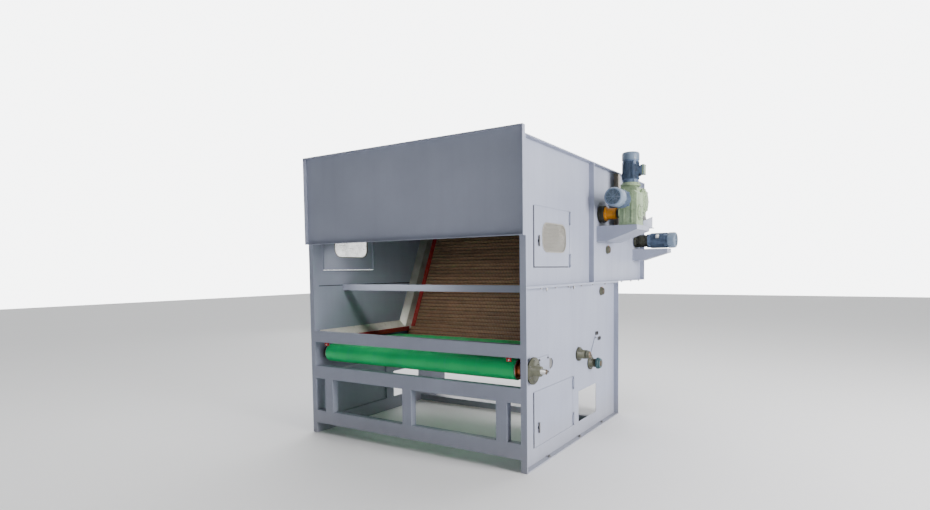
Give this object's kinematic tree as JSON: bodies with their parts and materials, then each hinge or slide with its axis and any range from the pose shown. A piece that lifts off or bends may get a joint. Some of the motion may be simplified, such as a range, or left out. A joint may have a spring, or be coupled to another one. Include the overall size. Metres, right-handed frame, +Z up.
{
  "type": "hopper feeder",
  "caption": "Spiked-lattice hopper feeder: feed apron at a wide front mouth, inclined slatted lattice, evener and stripping rollers, side doors, side-mounted drives and a rear outlet.",
  "frame": {"origin": "middle of the rear floor sill's underside, on the floor and in the machine's middle plane", "axes": "+X across the machine towards its drives, +Y from the feed mouth to the outlet, +Z up"},
  "size_m": [2.958, 3.1735, 2.8116],
  "materials": {
    "panel_paint": "satin blue-grey machine enamel",
    "guide_steel": "worn sheet steel, dull",
    "feed_belt": "satin green belting",
    "slat_wood": "oiled hardwood slats on canvas, brown",
    "roller_steel": "turned steel",
    "bearing_iron": "oiled cast iron",
    "window_glass": "clear acrylic pane, slightly yellowed",
    "latch_black": "black moulded handle",
    "gear_green": "pale green enamel on a casting",
    "motor_blue": "blue enamel on a ribbed casting",
    "coupling_orange": "orange enamel"
  },
  "bodies": {
    "machine": {"lower_side_panel_right": "panel_paint", "upper_front_panel_right": "panel_paint", "upper_rear_panel_right": "panel_paint", "apron_guide_right": "guide_steel", "lattice_guide_right": "guide_steel", "take_up_bearing_right": "bearing_iron", "lower_side_panel_left": "panel_paint", "upper_front_panel_left": "panel_paint", "upper_rear_panel_left": "panel_paint", "apron_guide_left": "guide_steel", "lattice_guide_left": "guide_steel", "take_up_bearing_left": "bearing_iron", "front_hood": "panel_paint", "top_cover_front": "panel_paint", "top_cover_rear": "panel_paint", "upper_back_panel": "panel_paint", "lower_back_panel": "panel_paint", "outlet_frame": "panel_paint", "lattice_back_shield": "panel_paint", "base_rail": "panel_paint", "base_beam": "panel_paint", "feed_lip_beam": "panel_paint", "base_post_left": "panel_paint", "base_post_centre": "panel_paint", "base_post_right": "panel_paint", "hopper_crossbar": "panel_paint", "rear_floor_sill": "panel_paint", "apron_bed": "panel_paint", "chain_cover": "panel_paint", "drive_shelf": "panel_paint", "delivery_bracket": "panel_paint", "feed_belt": "feed_belt", "spiked_lattice": "slat_wood", "lattice_foot_bearing": "bearing_iron", "apron_drive_bearing": "bearing_iron", "evener_gearbox": "gear_green", "lattice_gearbox": "gear_green", "evener_motor": "motor_blue", "lattice_motor": "motor_blue", "delivery_motor": "motor_blue"},
    "apron_front_spool": {"apron_front_roller": "roller_steel"},
    "apron_drive_spool": {"apron_drive_roller": "roller_steel"},
    "lattice_top_shaft": {"lattice_top_drum": "roller_steel"},
    "lattice_bottom_shaft": {"lattice_bottom_drum": "roller_steel"},
    "lattice_lower_shaft": {"lattice_lower_carrier": "roller_steel"},
    "lattice_upper_shaft": {"lattice_upper_carrier": "roller_steel"},
    "evener": {"evener_roller": "roller_steel", "evener_coupling": "coupling_orange"},
    "stripper": {"stripping_roller": "roller_steel"},
    "delivery": {"delivery_roller": "roller_steel"},
    "upper_door_leaf_right": {"upper_door_right": "panel_paint", "upper_door_window_right": "window_glass"},
    "lower_door_leaf_right": {"lower_door_right": "panel_paint"},
    "upper_latch_handle_right": {"upper_latch_right": "latch_black"},
    "lower_latch_handle_right": {"lower_latch_right": "latch_black"},
    "upper_door_leaf_left": {"upper_door_left": "panel_paint", "upper_door_window_left": "window_glass"},
    "lower_door_leaf_left": {"lower_door_left": "panel_paint"},
    "upper_latch_handle_left": {"upper_latch_left": "latch_black"},
    "lower_latch_handle_left": {"lower_latch_left": "latch_black"}
  },
  "joints": [
    {"name": "apron_drive_spin", "type": "hinge", "parent": "machine", "child": "apron_drive_spool", "pos_m": [0, -0.535, 0.795], "axis": [1, 0, 0], "continuous": true},
    {"name": "apron_front_spin", "type": "hinge", "parent": "machine", "child": "apron_front_spool", "pos_m": [0, -1.55, 0.795], "axis": [1, 0, 0], "continuous": true},
    {"name": "lattice_top_spin", "type": "hinge", "parent": "machine", "child": "lattice_top_shaft", "pos_m": [0, 0.47833, 2.31], "axis": [1, 0, 0], "continuous": true},
    {"name": "lattice_bottom_spin", "type": "hinge", "parent": "machine", "child": "lattice_bottom_shaft", "pos_m": [0, -0.245, 0.67], "axis": [1, 0, 0], "continuous": true},
    {"name": "lattice_lower_spin", "type": "hinge", "parent": "machine", "child": "lattice_lower_shaft", "pos_m": [0, 0.06374, 1.37], "axis": [1, 0, 0], "continuous": true},
    {"name": "lattice_upper_spin", "type": "hinge", "parent": "machine", "child": "lattice_upper_shaft", "pos_m": [0, 0.25339, 1.8], "axis": [1, 0, 0], "continuous": true},
    {"name": "evener_spin", "type": "hinge", "parent": "machine", "child": "evener", "pos_m": [0, 0.035, 2.155], "axis": [1, 0, 0], "continuous": true},
    {"name": "stripper_spin", "type": "hinge", "parent": "machine", "child": "stripper", "pos_m": [0, 0.865, 2.2], "axis": [1, 0, 0], "continuous": true},
    {"name": "delivery_spin", "type": "hinge", "parent": "machine", "child": "delivery", "pos_m": [0, 1.215, 1.925], "axis": [1, 0, 0], "continuous": true},
    {"name": "upper_door_hinge_right", "type": "hinge", "parent": "machine", "child": "upper_door_leaf_right", "pos_m": [1.1665, -0.7375, 1.8675], "axis": [0, 0, 1], "range_deg": [0, 110]},
    {"name": "upper_latch_turn_right", "type": "hinge", "parent": "upper_door_leaf_right", "child": "upper_latch_handle_right", "pos_m": [1.1565, -1.368, 1.836], "axis": [1, 0, 0], "range_deg": [0, 90]},
    {"name": "lower_door_hinge_right", "type": "hinge", "parent": "machine", "child": "lower_door_leaf_right", "pos_m": [1.1665, -0.6675, 0.3705], "axis": [0, 0, 1], "range_deg": [0, 110]},
    {"name": "lower_latch_turn_right", "type": "hinge", "parent": "lower_door_leaf_right", "child": "lower_latch_handle_right", "pos_m": [1.1565, -1.386, 0.293], "axis": [1, 0, 0], "range_deg": [0, 90]},
    {"name": "upper_door_hinge_left", "type": "hinge", "parent": "machine", "child": "upper_door_leaf_left", "pos_m": [-1.1665, -0.8375, 1.8675], "axis": [0, 0, -1], "range_deg": [0, 110]},
    {"name": "upper_latch_turn_left", "type": "hinge", "parent": "upper_door_leaf_left", "child": "upper_latch_handle_left", "pos_m": [-1.1565, -1.468, 1.836], "axis": [-1, 0, 0], "range_deg": [0, 90]},
    {"name": "lower_door_hinge_left", "type": "hinge", "parent": "machine", "child": "lower_door_leaf_left", "pos_m": [-1.1665, -0.6675, 0.3705], "axis": [0, 0, -1], "range_deg": [0, 110]},
    {"name": "lower_latch_turn_left", "type": "hinge", "parent": "lower_door_leaf_left", "child": "lower_latch_handle_left", "pos_m": [-1.1565, -1.386, 0.293], "axis": [-1, 0, 0], "range_deg": [0, 90]}
  ],
  "couplings": [
    {"joint": "apron_front_spin", "follows": "apron_drive_spin", "ratio": 1},
    {"joint": "lattice_bottom_spin", "follows": "lattice_top_spin", "ratio": 1},
    {"joint": "lattice_lower_spin", "follows": "lattice_top_spin", "ratio": 1},
    {"joint": "lattice_upper_spin", "follows": "lattice_top_spin", "ratio": 1},
    {"joint": "stripper_spin", "follows": "evener_spin", "ratio": 1}
  ]
}
